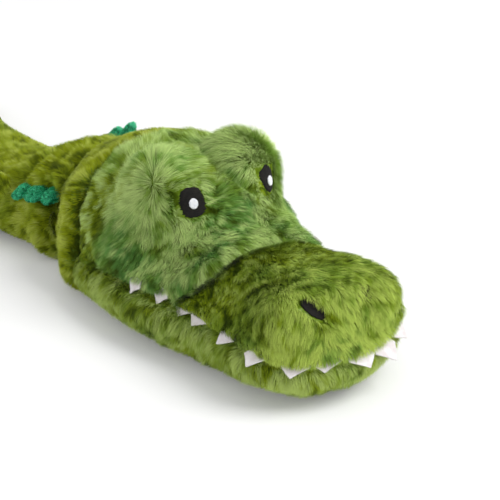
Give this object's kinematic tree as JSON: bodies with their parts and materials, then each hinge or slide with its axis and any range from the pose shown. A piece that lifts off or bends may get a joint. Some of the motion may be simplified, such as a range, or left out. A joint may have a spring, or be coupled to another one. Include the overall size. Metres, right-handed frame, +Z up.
{
  "type": "plush alligator dog toy",
  "caption": "Green plush alligator dog toy lying on its belly, with felt teeth, stitched eyes, scute strips on its back and tail, four legs and a squeaker in the head and the torso",
  "frame": {"origin": "on the floor, under the middle of the torso between the neck pivot and the tail pivot", "axes": "+Z up, +Y from the torso towards the tail, +X to the toy's left; the head points towards -Y, turned 13 degrees to its own right"},
  "size_m": [0.2048, 0.6728, 0.098],
  "materials": {
    "plush": "matt",
    "jaw_plush": "matt",
    "filling": "matt",
    "felt": "matt",
    "scute_plush": "matt",
    "black_thread": "satin",
    "white_thread": "satin",
    "squeaker": "satin"
  },
  "bodies": {
    "torso": {"hip_scutes_left": "scute_plush", "hip_scutes_right": "scute_plush", "shoulder_scutes_left": "scute_plush", "shoulder_scutes_right": "scute_plush", "torso_back_panel": "plush", "torso_belly_panel": "plush", "torso_side_panel_left": "plush", "torso_side_panel_right": "plush", "torso_squeaker": "squeaker", "torso_squeaker_reed": "squeaker", "torso_stuffing": "filling"},
    "head": {"eye_highlight_left": "white_thread", "eye_highlight_right": "white_thread", "eye_patch_left": "black_thread", "eye_patch_right": "black_thread", "head_squeaker": "squeaker", "head_squeaker_reed": "squeaker", "head_stuffing": "filling", "jaw_cover": "jaw_plush", "nostril_left": "black_thread", "nostril_right": "black_thread", "skull_cover": "plush", "snout_cover": "plush", "tooth_left_1": "felt", "tooth_left_2": "felt", "tooth_left_3": "felt", "tooth_left_4": "felt", "tooth_left_5": "felt", "tooth_left_6": "felt", "tooth_left_7": "felt", "tooth_left_8": "felt", "tooth_right_1": "felt", "tooth_right_2": "felt", "tooth_right_3": "felt", "tooth_right_4": "felt", "tooth_right_5": "felt", "tooth_right_6": "felt", "tooth_right_7": "felt", "tooth_right_8": "felt"},
    "front_leg_right": {"front_leg_right_cover": "plush", "front_leg_right_stuffing": "filling"},
    "front_leg_left": {"front_leg_left_cover": "plush", "front_leg_left_stuffing": "filling"},
    "rear_leg_right": {"rear_leg_right_cover": "plush", "rear_leg_right_stuffing": "filling"},
    "rear_leg_left": {"rear_leg_left_cover": "plush", "rear_leg_left_stuffing": "filling"},
    "tail_base": {"tail_base_cover": "plush", "tail_base_stuffing": "filling", "tail_scutes_left": "scute_plush", "tail_scutes_right": "scute_plush"},
    "tail_tip": {"tail_tip_cover": "plush", "tail_tip_stuffing": "filling"}
  },
  "joints": [
    {"name": "neck_turn", "type": "hinge", "parent": "torso", "child": "head", "pos_m": [0, -0.14, 0], "axis": [0, 0, 1], "range_deg": [-22, 48], "stiffness_Nm_per_rad": 0.05},
    {"name": "front_leg_right_swing", "type": "hinge", "parent": "torso", "child": "front_leg_right", "pos_m": [-0.041, -0.01, 0], "axis": [0, 0, 1], "range_deg": [-18, 22], "stiffness_Nm_per_rad": 0.01},
    {"name": "front_leg_left_swing", "type": "hinge", "parent": "torso", "child": "front_leg_left", "pos_m": [0.041, -0.01, 0], "axis": [0, 0, 1], "range_deg": [-22, 18], "stiffness_Nm_per_rad": 0.01},
    {"name": "rear_leg_right_swing", "type": "hinge", "parent": "torso", "child": "rear_leg_right", "pos_m": [-0.052, 0.107, 0], "axis": [0, 0, 1], "range_deg": [-9, 35], "stiffness_Nm_per_rad": 0.01},
    {"name": "rear_leg_left_swing", "type": "hinge", "parent": "torso", "child": "rear_leg_left", "pos_m": [0.052, 0.107, 0], "axis": [0, 0, 1], "range_deg": [-35, 9], "stiffness_Nm_per_rad": 0.01},
    {"name": "tail_base_swing", "type": "hinge", "parent": "torso", "child": "tail_base", "pos_m": [0, 0.14, 0], "axis": [0, 0, 1], "range_deg": [-25, 25], "stiffness_Nm_per_rad": 0.02},
    {"name": "tail_tip_swing", "type": "hinge", "parent": "tail_base", "child": "tail_tip", "pos_m": [0, 0.245, 0], "axis": [0, 0, 1], "range_deg": [-30, 30], "stiffness_Nm_per_rad": 0.01}
  ]
}
